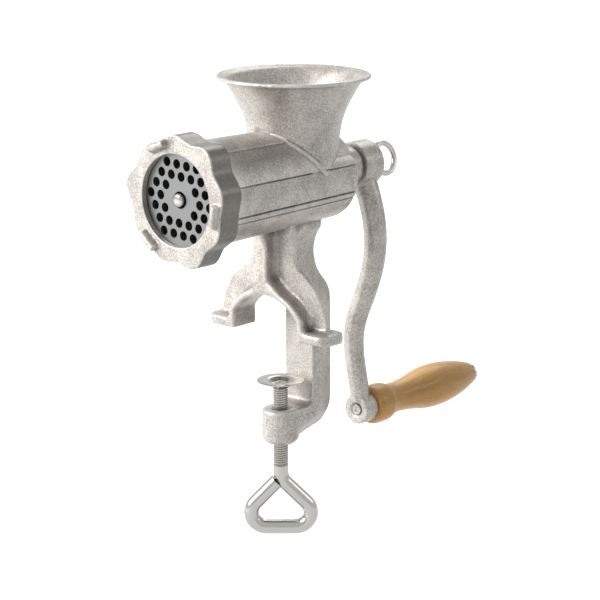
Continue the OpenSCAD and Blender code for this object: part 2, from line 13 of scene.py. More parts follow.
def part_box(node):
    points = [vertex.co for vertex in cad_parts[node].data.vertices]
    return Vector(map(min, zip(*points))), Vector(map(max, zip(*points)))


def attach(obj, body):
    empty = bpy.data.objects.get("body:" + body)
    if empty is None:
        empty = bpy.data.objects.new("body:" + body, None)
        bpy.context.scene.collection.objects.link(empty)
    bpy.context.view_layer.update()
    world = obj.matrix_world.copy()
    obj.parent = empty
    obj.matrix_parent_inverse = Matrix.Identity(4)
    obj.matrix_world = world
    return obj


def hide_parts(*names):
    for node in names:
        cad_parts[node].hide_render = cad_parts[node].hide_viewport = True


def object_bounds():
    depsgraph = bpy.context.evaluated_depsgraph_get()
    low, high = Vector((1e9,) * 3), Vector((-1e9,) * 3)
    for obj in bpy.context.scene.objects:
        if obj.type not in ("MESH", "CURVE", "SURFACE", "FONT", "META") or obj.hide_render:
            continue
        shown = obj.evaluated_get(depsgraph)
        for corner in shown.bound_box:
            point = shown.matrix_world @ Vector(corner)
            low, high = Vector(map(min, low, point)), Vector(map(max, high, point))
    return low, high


bl_info = {
    "name": "Meat Grinder",
    "version": (1, 0, 0),
    "blender": (4, 5, 0),
    "location": "View3D > Sidebar > Grinder",
    "description": "Finishes the pieces of a hand-cranked meat grinder",
    "category": "Object",
}

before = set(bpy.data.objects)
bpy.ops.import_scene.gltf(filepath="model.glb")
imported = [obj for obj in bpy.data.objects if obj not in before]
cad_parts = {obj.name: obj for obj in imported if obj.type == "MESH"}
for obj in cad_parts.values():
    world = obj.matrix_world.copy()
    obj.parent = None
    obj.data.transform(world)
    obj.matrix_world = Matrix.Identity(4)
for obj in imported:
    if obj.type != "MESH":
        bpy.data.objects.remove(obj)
CAD_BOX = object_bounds()

MM = 0.001
LOW, HIGH = 0, 1
X, Y, Z = 0, 1, 2


def edge(node, side, axis):
    """One side of a node's box in the frame."""
    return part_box(node)[side][axis]


def middle(node, axis):
    """The middle of a node's box along one axis."""
    return (edge(node, LOW, axis) + edge(node, HIGH, axis)) / 2


# Places that the pieces share
AXIS_Z = middle("perforated_plate", Z)
PIN_Z = middle("handle_grip", Z)
SCREW_Y = middle("clamp_pad", Y)
RING_BACK_Y = edge("ring_nut", HIGH, Y)
BARREL_END_Y = 25 * MM
HOPPER_Y = -4 * MM
# The barrel's radius behind the ring, and what it loses on the way to its rear wall
BARREL = 32.15 * MM
TAPER = 2.2 * MM
# The rounding of the barrel's rear edge
CORNER = 3 * MM
# The hopper neck's outer radius, and how much wider its foot spreads
NECK = 28.3 * MM
FOOT = 2.6 * MM
# The wall of the stepped skin
SKIN = 1.2 * MM
# The auger's share of its size in the frame, so that its rounded flight stays clear of the bore
SLACK = 0.975
# The three bars on the ring's front: their places in degrees, distance from the axis, half length and radius
BAR_PLACES = (-9, 111, 231)
BAR_AWAY = 34.6 * MM
BAR_HALF = 6.6 * MM
BAR_ROUND = 2.5 * MM


def linear_colour(code):
    """Linear RGB for an sRGB colour written as six hex digits."""
    parts = [int(code[i:i + 2], 16) / 255 for i in (0, 2, 4)]
    return [c / 12.92 if c <= 0.04045 else ((c + 0.055) / 1.055) ** 2.4 for c in parts]


def length(name, description, default):
    """A length property in metres."""
    return FloatProperty(
        name=name, description=description, default=default, min=0, unit="LENGTH", precision=5)


def colour(name, description, code):
    """A colour property whose default is an sRGB hex value."""
    return FloatVectorProperty(
        name=name, description=description, default=linear_colour(code), min=0, max=1, subtype="COLOR")


class GrinderSizes(bpy.types.PropertyGroup):
    """Sizes that the frame doesn't give"""
    cast_cell: length("Casting cell", "Cell at which the body casting's edges are rounded", 1.45 * MM)
    fine_cell: length("Fine cell", "Cell at which the smaller castings' edges are rounded", 0.6 * MM)
    bead: length("Bead", "Radius of the raised bead where the hopper meets the barrel", 1.7 * MM)
    step: length("Step", "Height of the steps along the barrel", 1.1 * MM)
    pitch: length("Thread pitch", "Distance between turns of the clamp screw's thread", 1.5 * MM)
    rod: length("Rod", "Radius of the clamp screw's rod and over its thread", 4.9 * MM)
    wire: length("Wire", "Radius of the eye screw's wire", 1.9 * MM)
    eye: length("Eye", "Radius of the eye screw's ring at the middle of its wire", 10.1 * MM)
    nose: length("Stud nose", "Radius of the knife stud's domed nose", 4.15 * MM)
    sides: IntProperty(name="Sides", description="Sides of a turned piece", default=96, min=24, max=256)


class GrinderColours(bpy.types.PropertyGroup):
    """Colours of the finishes"""
    tin_light: colour("Tin", "Tinned iron where it is clean", "D6D1CA")
    tin_dark: colour("Dull tin", "Tinned iron between the grains of the mould's sand", "A19B94")
    # Pit colour: painted shade in hollows, partly also dirt and bare iron.
    pit_dirt_and_shade: colour("Pits and shade", "Dirt, bare iron and painted shade in corners", "4D4A45")
    # Edge colour: painted highlight on sharp edges, partly also tin rubbed bright.
    edge_wear_and_highlight: colour("Edges", "Tinned edges rubbed bright, with a painted highlight on the edges", "ECE9E3")
    # Rim colour: a darker tint painted as the shade on the ring's sides.
    ring_side_shade: colour("Ring side", "The ring nut's smooth rim, painted darker as the shade on its sides", "827F78")
    ground_steel: colour("Ground steel", "The perforated plate", "7D7E7D")
    # Knife colour: dark steel painted as the shade inside the bore.
    bore_shade_steel: colour("Bore shade steel", "The knife and the key, painted dark as the shade in the bore", "4E4D4B")
    bright_steel: colour("Bright steel", "Zinc-plated screws and the pad", "A9A7A3")
    beech_light: colour("Beech", "The grip between its rays", "F6C27A")
    beech_dark: colour("Dark beech", "The grip's growth rings", "E2A756")
    beech_ray: colour("Rays", "Short dark rays in the beech", "A26B34")
    fibre: colour("Fibre", "The washer behind the auger", "B9A98A")
    floor: colour("Floor", "The floor and the backdrop", "DCDCDC")


def pick(obj):
    """Makes one object the only one that is selected."""
    if bpy.context.mode != "OBJECT":
        bpy.ops.object.mode_set(mode="OBJECT")
    bpy.ops.object.select_all(action="DESELECT")
    obj.select_set(True)
    bpy.context.view_layer.objects.active = obj


def begin_edit(obj, action="SELECT"):
    """Goes into edit mode on one object, with all or none of its mesh selected."""
    pick(obj)
    bpy.ops.object.mode_set(mode="EDIT")
    bpy.ops.mesh.select_all(action=action)


def end_edit():
    """Goes back to object mode."""
    bpy.ops.object.mode_set(mode="OBJECT")


def tidy_mesh(obj, gap=0.01 * MM):
    """Merges doubled vertices and points every face outwards."""
    begin_edit(obj)
    bpy.ops.mesh.remove_doubles(threshold=gap)
    bpy.ops.mesh.normals_make_consistent(inside=False)
    end_edit()


def apply_modifiers(obj):
    """Applies an object's modifiers in order."""
    pick(obj)
    for modifier in list(obj.modifiers):
        bpy.ops.object.modifier_apply(modifier=modifier.name)


def settle(obj):
    """Moves an object's place and turn into its mesh."""
    pick(obj)
    bpy.ops.object.transform_apply(location=True, rotation=True, scale=True)


def join(parts, name):
    """Joins pieces into the first of them."""
    pick(parts[0])
    for part in parts[1:]:
        part.select_set(True)
    bpy.ops.object.join()
    parts[0].name = parts[0].data.name = name
    return parts[0]


def smooth_faces(obj, angle=35):
    """Shades round faces smooth and keeps edges sharper than an angle in degrees."""
    pick(obj)
    bpy.ops.object.shade_smooth_by_angle(angle=math.radians(angle))


def dress(obj, material, body, node=None):
    """Gives a piece its material and its body, and hides the node that it stands for."""
    obj.data.materials.clear()
    obj.data.materials.append(material)
    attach(obj, body)
    if node:
        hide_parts(node)


def paint_node(name, material):
    """Gives a node of the frame a better material."""
    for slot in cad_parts[name].material_slots:
        slot.material = material


def frame_copy(piece, name):
    """A merged copy of a node's mesh, to be worked on."""
    obj = bpy.data.objects.new(name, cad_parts[piece].data.copy())
    obj.data.name = name
    bpy.context.scene.collection.objects.link(obj)
    begin_edit(obj)
    bpy.ops.mesh.remove_doubles(threshold=0.001 * MM)
    end_edit()
    return obj


def block(name, low, high):
    """A box between two corners."""
    bpy.ops.object.select_all(action="DESELECT")
    centre = [(a + b) / 2 for a, b in zip(low, high)]
    bpy.ops.mesh.primitive_cube_add(size=1, location=centre, scale=[b - a for a, b in zip(low, high)])
    obj = bpy.context.object
    obj.name = obj.data.name = name
    settle(obj)
    return obj


def sand_cast(obj, cell, rounds):
    """Joins overlapping shells into one skin and rounds its edges, as a sand mould does."""
    skin = obj.modifiers.new("Skin", "REMESH")
    skin.mode = "VOXEL"
    skin.voxel_size = cell
    rounding = obj.modifiers.new("Rounding", "SMOOTH")
    rounding.factor = 0.5
    rounding.iterations = rounds
    apply_modifiers(obj)
    pick(obj)
    bpy.ops.object.shade_smooth()


def turned(name, outline, sides, ends="NGON"):
    """Turns an outline of (distance, radius) pairs round Z, one ring after the other."""
    start, radius = outline[0]
    bpy.ops.object.select_all(action="DESELECT")
    bpy.ops.mesh.primitive_circle_add(vertices=sides, radius=radius, fill_type=ends, location=(0, 0, start))
    obj = bpy.context.object
    obj.name = obj.data.name = name
    settle(obj)
    begin_edit(obj)
    for (z0, r0), (z1, r1) in zip(outline, outline[1:]):
        bpy.ops.mesh.extrude_region_move(TRANSFORM_OT_translate={"value": (0, 0, z1 - z0)})
        bpy.ops.transform.resize(value=(r1 / r0, r1 / r0, 1), center_override=(0, 0, z1))
    end_edit()
    tidy_mesh(obj)
    return obj


def stand_along_y(obj, y, x=0.0, z=AXIS_Z):
    """Lays a piece made along Z along Y instead, from y."""
    obj.rotation_euler = (-math.pi / 2, 0, 0)
    obj.location = (x, y, z)
    settle(obj)


def rod_along(name, points, radius, cyclic=False, sides=16):
    """A round rod along a list of points, or a bare line where its radius is 0."""
    curve = bpy.data.curves.new(name, "CURVE")
    curve.dimensions = "3D"
    curve.bevel_depth = radius
    curve.bevel_resolution = sides // 4
    curve.use_fill_caps = radius > 0 and not cyclic
    line = curve.splines.new("POLY")
    line.points.add(len(points) - 1)
    for point, place in zip(line.points, points):
        point.co = (*place, 1)
    line.use_cyclic_u = cyclic
    obj = bpy.data.objects.new(name, curve)
    bpy.context.scene.collection.objects.link(obj)
    pick(obj)
    bpy.ops.object.convert(target="MESH")
    obj = bpy.context.object
    tidy_mesh(obj)
    return obj


def arc(centre, radius, start, end, steps):
    """Points on an arc, with angles in degrees."""
    turns = [math.radians(start + (end - start) * i / steps) for i in range(steps + 1)]
    return [(centre[0] + radius * math.cos(a), centre[1] + radius * math.sin(a)) for a in turns]


def smooth_line(points, steps):
    """A smooth curve through a list of points."""
    line = []
    for i in range(len(points) - 1):
        a, b, c, d = (Vector(points[max(0, min(len(points) - 1, i + k))]) for k in (-1, 0, 1, 2))
        for k in range(steps):
            t = k / steps
            line.append(0.5 * (2 * b + (c - a) * t + (2 * a - 5 * b + 4 * c - d) * t ** 2
                               + (3 * b - a - 3 * c + d) * t ** 3))
    return [tuple(p) for p in line] + [tuple(points[-1])]


def node(tree, kind, inputs=None, **settings):
    """Adds a node with its settings, and fills its inputs with values or other nodes' outputs."""
    made = tree.nodes.new(kind)
    for key, value in settings.items():
        setattr(made, key, value)
    for key, value in (inputs or {}).items():
        if isinstance(value, bpy.types.NodeSocket):
            tree.links.new(value, made.inputs[key])
        else:
            made.inputs[key].default_value = value
    return made


def new_material(name):
    """An empty material's node tree, with its shader and its object coordinates."""
    material = bpy.data.materials.new(name)
    material.use_nodes = True
    tree = material.node_tree
    tree.nodes.clear()
    shader = node(tree, "ShaderNodeBsdfPrincipled")
    node(tree, "ShaderNodeOutputMaterial", {"Surface": shader.outputs["BSDF"]})
    place = node(tree, "ShaderNodeTexCoord").outputs["Object"]
    return material, tree, shader, place


def rgba(values):
    """A colour property's value with an alpha of 1."""
    return (*values, 1)


def grains(tree, place, size, detail=2, roughness=0.5):
    """Cloudy noise whose spots are about as large as a size in metres."""
    return node(tree, "ShaderNodeTexNoise", {
        "Vector": place, "Scale": 1 / size, "Detail": detail, "Roughness": roughness}).outputs["Fac"]


def spread(tree, value, low, high, to_low=0.0, to_high=1.0):
    """Maps the range from low to high onto another one, and holds it at both ends."""
    return node(tree, "ShaderNodeMapRange", {
        "Value": value, "From Min": low, "From Max": high, "To Min": to_low, "To Max": to_high}).outputs[0]


def blend(tree, share, first, second):
    """Blends two colours, from the first at 0 to the second at 1."""
    return node(tree, "ShaderNodeMix", {0: share, 6: first, 7: second}, data_type="RGBA").outputs[2]


def roughen(tree, shader, height, strength, depth):
    """Gives a shader fine relief."""
    bump = node(tree, "ShaderNodeBump", {"Height": height, "Strength": strength, "Distance": depth})
    tree.links.new(bump.outputs[0], shader.inputs["Normal"])


def tinned_iron(name, colours, grain=0.95 * MM, relief=0.2 * MM, tint=None):
    """Grey iron cast in sand and dipped in molten tin.

    The mould's sand leaves a fine grain under a thin bright coat. The coat is clean on the grains'
    tops and duller between them, and it pools in broad patches. Sharp edges are painted lighter,
    partly as tin rubbed bright and partly as painted highlight, and hollows are painted dark, partly
    as dirt and bare iron and partly as painted shade. The grain is drawn a little coarser than
    the 0.5 mm sand, so that it shows.
    """
    material, tree, shader, place = new_material(name)
    fine = grains(tree, place, grain, 2, 0.6)
    coarse = grains(tree, place, 11 * MM, 4)
    tone = spread(tree, fine, 0.36, 0.62)
    pools = spread(tree, coarse, 0.3, 0.7, -0.35, 0.35)
    share = node(tree, "ShaderNodeMath", {0: tone, 1: pools}, operation="ADD", use_clamp=True)
    light, dark = (tint, [0.8 * value for value in tint]) if tint else (colours.tin_light, colours.tin_dark)
    form = node(tree, "ShaderNodeNewGeometry").outputs["Pointiness"]
    paint = blend(tree, share.outputs[0], rgba(dark), rgba(light))
    # Painted shade, partly also dirt and bare iron: hollows, where pointiness is low, blend towards the pit
    # colour.
    paint = blend(tree, spread(tree, form, 0.492, 0.45, 0, 0.85), paint, rgba(colours.pit_dirt_and_shade))
    # Painted highlight, partly also wear: sharp edges, where pointiness is high, blend towards the edge colour.
    paint = blend(tree, spread(tree, form, 0.52, 0.58, 0, 0.65), paint, rgba(colours.edge_wear_and_highlight))
    tree.links.new(paint, shader.inputs["Base Color"])
    tree.links.new(spread(tree, coarse, 0.3, 0.7, 0.3, 0.42), shader.inputs["Roughness"])
    roughen(tree, shader, fine, 0.7, relief)
    shader.inputs["Metallic"].default_value = 0.32
    return material


def zinc_plate(name, colours):
    """Steel drawn or pressed, then zinc-plated.

    The plating is bright, a thin film dulls its gloss in patches, and thread roots and other hollows are painted
    dark, partly as dirt and partly as painted shade.
    """
    material, tree, shader, place = new_material(name)
    film = grains(tree, place, 3 * MM, 5, 0.6)
    form = node(tree, "ShaderNodeNewGeometry").outputs["Pointiness"]
    # Painted shade, partly also dirt: hollows such as thread roots, where pointiness is low, blend towards the
    # pit colour.
    root = spread(tree, form, 0.49, 0.42, 0, 0.9)
    paint = blend(tree, root, rgba(colours.bright_steel), rgba(colours.pit_dirt_and_shade))
    tree.links.new(paint, shader.inputs["Base Color"])
    tree.links.new(spread(tree, film, 0, 1, 0.08, 0.3), shader.inputs["Roughness"])
    roughen(tree, shader, film, 0.15, 0.05 * MM)
    shader.inputs["Metallic"].default_value = 1.0
    return material


def turned_steel(name, tint, roughness, lathe=0.35 * MM, relief=0.01 * MM):
    """Tool steel ground on a lathe: satin grey, with faint rings of tool marks round the barrel's axis."""
    material, tree, shader, place = new_material(name)
    moved = node(tree, "ShaderNodeMapping", {"Vector": place, "Location": (0, 0, -AXIS_Z)})
    marks = node(tree, "ShaderNodeTexWave", {
        "Vector": moved.outputs[0], "Scale": 1 / lathe / 20, "Distortion": 1.5, "Detail": 2},
        wave_type="RINGS", rings_direction="Y")
    cloud = grains(tree, place, 4 * MM, 4)
    gloss = spread(tree, cloud, 0, 1, roughness - 0.08, roughness + 0.1)
    tree.links.new(gloss, shader.inputs["Roughness"])
    roughen(tree, shader, marks.outputs["Fac"], 0.3, relief)
    shader.inputs["Base Color"].default_value = rgba(tint)
    shader.inputs["Metallic"].default_value = 1.0
    return material


def varnished_beech(name, colours):
    """Turned beech under clear varnish: faint warm rings, short dark rays along the grain, a soft gloss."""
    material, tree, shader, place = new_material(name)
    heart = (0.009, 0, 0.011 - PIN_Z)
    moved = node(tree, "ShaderNodeMapping", {"Vector": place, "Location": heart})
    drawn = node(tree, "ShaderNodeMapping", {"Vector": moved.outputs[0], "Scale": (1, 0.12, 1)}).outputs[0]
    rings = spread(tree, grains(tree, drawn, 6 * MM, 3), 0.3, 0.75)
    pores = grains(tree, drawn, 0.55 * MM, 1)
    rays = spread(tree, pores, 0.62, 0.74, 0, 0.55)
    paint = blend(tree, rings, rgba(colours.beech_light), rgba(colours.beech_dark))
    paint = blend(tree, rays, paint, rgba(colours.beech_ray))
    tree.links.new(paint, shader.inputs["Base Color"])
    roughen(tree, shader, pores, 0.15, 0.1 * MM)
    shader.inputs["Roughness"].default_value = 0.55
    shader.inputs["Specular IOR Level"].default_value = 0.3
    shader.inputs["Coat Weight"].default_value = 0.35
    shader.inputs["Coat Roughness"].default_value = 0.16
    return material


def pressed_fibre(name, tint):
    """Pressed fibre board, matt and slightly hairy."""
    material, tree, shader, place = new_material(name)
    roughen(tree, shader, grains(tree, place, 0.6 * MM, 3), 0.4, 0.1 * MM)
    shader.inputs["Base Color"].default_value = rgba(tint)
    shader.inputs["Roughness"].default_value = 0.8
    return material


def barrel_radius(turn, y, step):
    """The stepped barrel's radius at an angle from +X in degrees, and at a place along its axis.

    Both sides have a raised strip between two grooves low down, a grooved ridge a little above the
    middle and a step up to the top. Behind the hopper the part above the ridge is cut down to a shelf.
    """
    along = (y - RING_BACK_Y) / (BARREL_END_Y - RING_BACK_Y)
    past = min(1, max(0, (y - BARREL_END_Y) / CORNER + 1))
    base = BARREL - TAPER * along - CORNER * (1 - math.sqrt(1 - past ** 2))
    turn = math.degrees(math.asin(math.sin(math.radians(turn))))
    ridge, shoulder = 15.5, 59
    if turn > ridge:
        front = step * (1 - 0.9 * min(1, (turn - ridge) / (shoulder - ridge)))
        if turn > shoulder:
            front += step
        dip = min(1, (turn - ridge) / 14)
        back = min(1, max(0, (turn - ridge - 14) / 10))
        shelf = step - 4.6 * MM * dip + 1.4 * MM * back
        behind = min(1, max(0, (y - HOPPER_Y) / (5 * MM)))
        return base + front * (1 - behind) + shelf * behind
    if turn > 14:
        return base - 0.5 * step
    if -28.2 < turn < -18.4:
        return base + step * (0.45 if -26.1 < turn < -20.2 else -0.8)
    return base


def stepped_skin(sizes):
    """The barrel's outside with its steps, open where the hopper comes in."""
    near_hopper = [HOPPER_Y + 1.6 * MM * i for i in range(-19, 15)]
    bend = [BARREL_END_Y - CORNER * (1 - math.sin(math.radians(a))) for a in (0, 25, 45, 60, 75, 90)]
    stations = [RING_BACK_Y - 0.5 * MM, -80 * MM, -60 * MM] + near_hopper + bend
    tube = turned("barrel_skin", [(y, 31 * MM) for y in stations], 480, ends="NOTHING")
    stand_along_y(tube, 0)
    for vertex in tube.data.vertices:
        x, y, z = vertex.co
        radius = barrel_radius(math.degrees(math.atan2(z - AXIS_Z, x)), y, sizes.step)
        reach = math.hypot(x, z - AXIS_Z)
        vertex.co = (x * radius / reach, y, AXIS_Z + (z - AXIS_Z) * radius / reach)
    begin_edit(tube, "DESELECT")
    bpy.ops.mesh.select_mode(type="FACE")
    end_edit()
    for face in tube.data.polygons:
        x, y, z = face.center
        face.select = z > AXIS_Z and math.hypot(x, y - HOPPER_Y) < 26.6 * MM
    bpy.ops.object.mode_set(mode="EDIT")
    bpy.ops.mesh.delete(type="FACE")
    bpy.ops.mesh.select_mode(type="VERT")
    end_edit()
    tidy_mesh(tube, 0.001 * MM)
    wall = tube.modifiers.new("Wall", "SOLIDIFY")
    wall.thickness = SKIN
    wall.offset = -1
    apply_modifiers(tube)
    smooth_faces(tube, 25)
    return tube


def neck_radius(turn, height):
    """The hopper neck's outer radius, wider low down where it runs into the barrel's sides."""
    low = min(1, max(0, 1 - (height - 12 * MM) / (28 * MM))) ** 2
    return NECK + FOOT * low * max(0, math.cos(turn + math.radians(35))) ** 2


def shape_hopper(obj):
    """Widens the foot of the hopper's neck and lifts the rim to its full height."""
    for vertex in obj.data.vertices:
        x, y, height = vertex.co.x, vertex.co.y - HOPPER_Y, vertex.co.z - AXIS_Z
        away = math.hypot(x, y)
        if 8 * MM < height < 40 * MM and 26.9 * MM < away < 34 * MM:
            spread = neck_radius(math.atan2(y, abs(x)), height) / NECK
            vertex.co.x *= spread
            vertex.co.y = HOPPER_Y + y * spread
        lift = min(1, max(0, (height - 48 * MM) / (13 * MM)))
        vertex.co.z += 1.4 * MM * lift ** 2 * (3 - 2 * lift)


def sink_barrel(obj, step):
    """Draws the rough barrel in under the stepped skin that covers it."""
    for vertex in obj.data.vertices:
        x, y, z = vertex.co
        reach = math.hypot(x, z - AXIS_Z)
        neck = neck_radius(math.atan2(y - HOPPER_Y, abs(x)), z - AXIS_Z) + 0.35 * MM
        in_hopper = z > AXIS_Z + 4 * MM and math.hypot(x, y - HOPPER_Y) < neck
        least = 28.6 * MM if y < BARREL_END_Y - 6 * MM else 20 * MM
        if in_hopper or reach < least or not RING_BACK_Y + 0.3 * MM < y < BARREL_END_Y + 1 * MM:
            continue
        under = barrel_radius(math.degrees(math.atan2(z - AXIS_Z, x)), y, step) - 1.1 * MM
        share = min(1, max(0, (34.8 * MM - reach) / (1.5 * MM)))
        scale = 1 - max(0, reach - under) * share / reach
        vertex.co = (x * scale, y, AXIS_Z + (z - AXIS_Z) * scale)


def hopper_beads(sizes):
    """The two raised beads where the hopper's neck runs down the barrel's sides."""
    beads = []
    for side in (1, -1):
        points = []
        for i in range(41):
            turn = math.radians(-86 + 80 * i / 40)
            height = 20 * MM
            sunk = 2 * MM * max(0, 1 - i / 5)
            for _ in range(20):
                neck = neck_radius(turn, height) + 0.2 * MM - sunk
                x, y = neck * math.cos(turn), HOPPER_Y + neck * math.sin(turn)
                radius = barrel_radius(math.degrees(math.atan2(height, x)), y, sizes.step)
                height = (height + math.sqrt(max(0, radius ** 2 - x ** 2))) / 2
            points.append((side * x, y, AXIS_Z + height - 3 * MM * max(0, 1 - (40 - i) / 8)))
        bead = rod_along("hopper_bead", points, sizes.bead, sides=12)
        smooth_faces(bead, 60)
        beads.append(bead)
    return beads


class GRINDER_OT_body_casting(bpy.types.Operator):
    """Cast the body: hopper, stepped barrel, forked feet and the clamp's spine in one piece"""
    bl_idname = "grinder.body_casting"
    bl_label = "Body casting"

    def execute(self, context):
        sizes = context.scene.grinder_sizes
        gusset = block("gusset", (-10.6 * MM, -23 * MM, 50 * MM), (10.6 * MM, -4 * MM, 68.8 * MM))
        shoulder = turned("shoulder", [
            (22 * MM, 13.6 * MM), (22 * MM, 24.5 * MM), (25.2 * MM, 23.6 * MM), (27.6 * MM, 22 * MM),
            (29.4 * MM, 19.6 * MM), (30.4 * MM, 16.6 * MM), (30.4 * MM, 13.6 * MM), (22 * MM, 13.6 * MM)],
            sizes.sides, ends="NOTHING")
        stand_along_y(shoulder, 0)
        body = join([frame_copy("body_casting", "grinder_body"), gusset, shoulder], "grinder_body")
        sand_cast(body, sizes.cast_cell, 3)
        shape_hopper(body)
        sink_barrel(body, sizes.step)
        body = join([body, stepped_skin(sizes), *hopper_beads(sizes)], "grinder_body")
        dress(body, tinned_iron("hot-dip tinned sand casting", context.scene.grinder_colours),
              "casting", "body_casting")
        return {"FINISHED"}


class GRINDER_OT_ring_nut(bpy.types.Operator):
    """Cast the lobed ring nut with its three ears and three raised bars, and give its rim a smoother grain and a
    tint painted darker as shade
    """
    bl_idname = "grinder.ring_nut"
    bl_label = "Ring nut"

    def execute(self, context):
        colours = context.scene.grinder_colours
        front = edge("ring_nut", LOW, Y)
        bars = []
        for place in BAR_PLACES:
            a = math.radians(place)
            out, along = Vector((math.cos(a), 0, math.sin(a))), Vector((-math.sin(a), 0, math.cos(a)))
            for depth in (-0.4 * MM, 2.2 * MM):
                centre = Vector((0, front + depth, AXIS_Z)) + BAR_AWAY * out
                ends = [centre + t * along for t in (-BAR_HALF, 0, BAR_HALF)]
                bars.append(rod_along("bar", ends, BAR_ROUND, sides=16))
        nut = join([frame_copy("ring_nut", "lobed_ring"), *bars], "lobed_ring")
        sand_cast(nut, context.scene.grinder_sizes.fine_cell, 2)
        dress(nut, tinned_iron("tinned ring casting", colours), "nut", "ring_nut")
        # The rim's copy of the tinned iron has a smoother grain and a darker tint painted as the shade on the
        # ring's sides.
        nut.data.materials.append(
            tinned_iron("smooth dipped rim painted as shade", colours, grain=2.5 * MM, relief=0.05 * MM, tint=colours.ring_side_shade))
        for face in nut.data.polygons:
            away = math.hypot(face.center.x, face.center.z - AXIS_Z)
            if abs(face.normal.y) < 0.6 and away > 36 * MM and face.center.y > front + 3 * MM:
                face.material_index = 1
        return {"FINISHED"}


class GRINDER_OT_cutting_set(bpy.types.Operator):
    """Finish the perforated plate, its key and the knife, and turn the stud with its domed nose"""
    bl_idname = "grinder.cutting_set"
    bl_label = "Plate and knife"

    def execute(self, context):
        colours = context.scene.grinder_colours
        sizes = context.scene.grinder_sizes
        # The knife and key are painted dark, as the shade inside the bore behind the plate's holes.
        bore_shade = turned_steel("tool steel darkened as bore shade", colours.bore_shade_steel, 0.6)
        paint_node("perforated_plate", turned_steel("ground tool steel", colours.ground_steel, 0.42))
        paint_node("knife", bore_shade)
        paint_node("plate_key", bore_shade)
        tip = edge("knife_stud", LOW, Y) - 2 * MM
        root = edge("knife_stud", HIGH, Y)
        dome = [(1.5 * MM * (1 - math.cos(a)), sizes.nose * (0.35 + 0.65 * math.sin(a)))
                for a in (0, 0.35, 0.7, 1.05, 1.35, math.pi / 2)]
        stud = turned("domed_stud", dome + [(root - tip, sizes.nose)], sizes.sides)
        stand_along_y(stud, tip)
        smooth_faces(stud)
        dress(stud, zinc_plate("polished stud steel", colours), "rotor", "knife_stud")
        return {"FINISHED"}


class GRINDER_OT_auger(bpy.types.Operator):
    """Cast the auger and finish the washer behind it"""
    bl_idname = "grinder.auger"
    bl_label = "Auger"

    def execute(self, context):
        colours = context.scene.grinder_colours
        auger = frame_copy("auger", "auger_casting")
        sand_cast(auger, context.scene.grinder_sizes.cast_cell, 2)
        for vertex in auger.data.vertices:
            vertex.co.x *= SLACK
            vertex.co.z = AXIS_Z + (vertex.co.z - AXIS_Z) * SLACK
        dress(auger, tinned_iron("tinned auger casting", colours), "rotor", "auger")
        paint_node("bearing_washer", pressed_fibre("pressed fibre", colours.fibre))
        return {"FINISHED"}


class GRINDER_OT_crank(bpy.types.Operator):
    """Cast the curved crank arm with its two hubs"""
    bl_idname = "grinder.crank"
    bl_label = "Crank"

    def execute(self, context):
        crank = frame_copy("crank_arm", "crank_casting")
        sand_cast(crank, context.scene.grinder_sizes.fine_cell, 5)
        material = tinned_iron("tinned crank casting", context.scene.grinder_colours)
        dress(crank, material, "rotor", "crank_arm")
        return {"FINISHED"}


class GRINDER_OT_eye_screw(bpy.types.Operator):
    """Form the eye screw that holds the crank on the shaft"""
    bl_idname = "grinder.eye_screw"
    bl_label = "Eye screw"

    def execute(self, context):
        sizes = context.scene.grinder_sizes
        centre_y = edge("crank_eye_screw", HIGH, Y) - sizes.eye - sizes.wire
        bpy.ops.object.select_all(action="DESELECT")
        bpy.ops.mesh.primitive_torus_add(
            major_radius=sizes.eye, minor_radius=sizes.wire, major_segments=96, minor_segments=24,
            location=(0, centre_y, AXIS_Z), rotation=(0, math.radians(75), 0))
        ring = bpy.context.object
        settle(ring)
        start = edge("crank_eye_screw", LOW, Y)
        collar = centre_y - sizes.eye - 4 * MM
        stem = turned("eye_stem", [
            (start, 4 * MM), (collar - 2.6 * MM, 4 * MM), (collar - 2.6 * MM, 6.2 * MM),
            (collar - 2.2 * MM, 6.6 * MM), (collar - 0.4 * MM, 6.6 * MM), (collar, 6.2 * MM),
            (collar, 4 * MM), (collar + 1.5 * MM, 3.2 * MM),
            (collar + 4.2 * MM, 2.4 * MM)], sizes.sides)
        stand_along_y(stem, 0)
        eye = join([ring, stem], "eye_screw")
        smooth_faces(eye, 40)
        dress(eye, zinc_plate("plated eye screw", context.scene.grinder_colours), "rotor", "crank_eye_screw")
        return {"FINISHED"}


